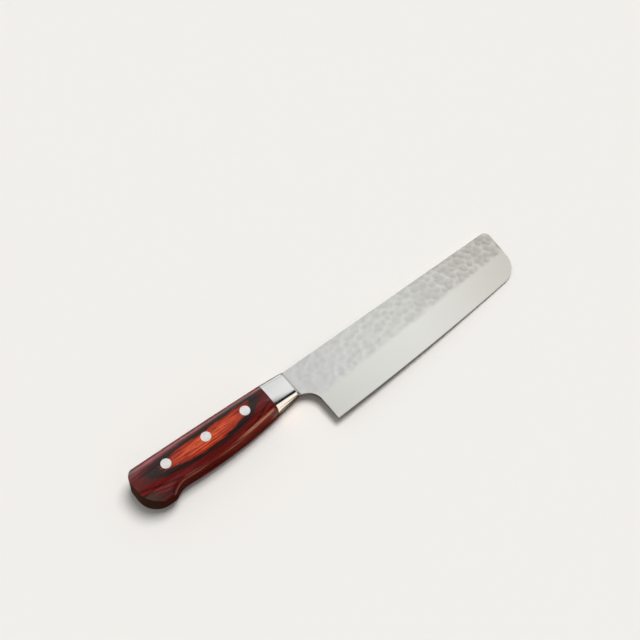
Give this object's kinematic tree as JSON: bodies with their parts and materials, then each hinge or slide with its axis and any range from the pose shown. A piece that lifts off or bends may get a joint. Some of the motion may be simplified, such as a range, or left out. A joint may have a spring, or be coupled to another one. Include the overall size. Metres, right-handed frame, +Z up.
{
  "type": "nakiri knife",
  "caption": "Straight-edged vegetable knife with a tall squared blade, hammered above the bevel, a tapered steel bolster and a riveted laminated-wood handle with a hooked butt.",
  "frame": {"origin": "on the surface that the knife lies on, under the centre of its outline", "axes": "+X along the blade's spine to the tip, +Y from the edge to the spine, +Z up, out of the blade's right side"},
  "size_m": [0.2822, 0.048, 0.017],
  "materials": {
    "core_steel": "fine satin grind along the edge",
    "cladding_steel": "satin, hammered above the bevel, faintly layered",
    "bolster_steel": "mirror polish",
    "handle_wood": "polished resin-filled veneers, orange-red over black over dark red",
    "rivet_steel": "ground flush, fine satin"
  },
  "bodies": {
    "root": {"blade_core": "core_steel", "cladding_right": "cladding_steel", "cladding_left": "cladding_steel", "bolster_right": "bolster_steel", "bolster_left": "bolster_steel", "handle_block": "handle_wood", "rivet_bolts": "rivet_steel", "rivet_sockets": "rivet_steel"}
  },
  "joints": []
}
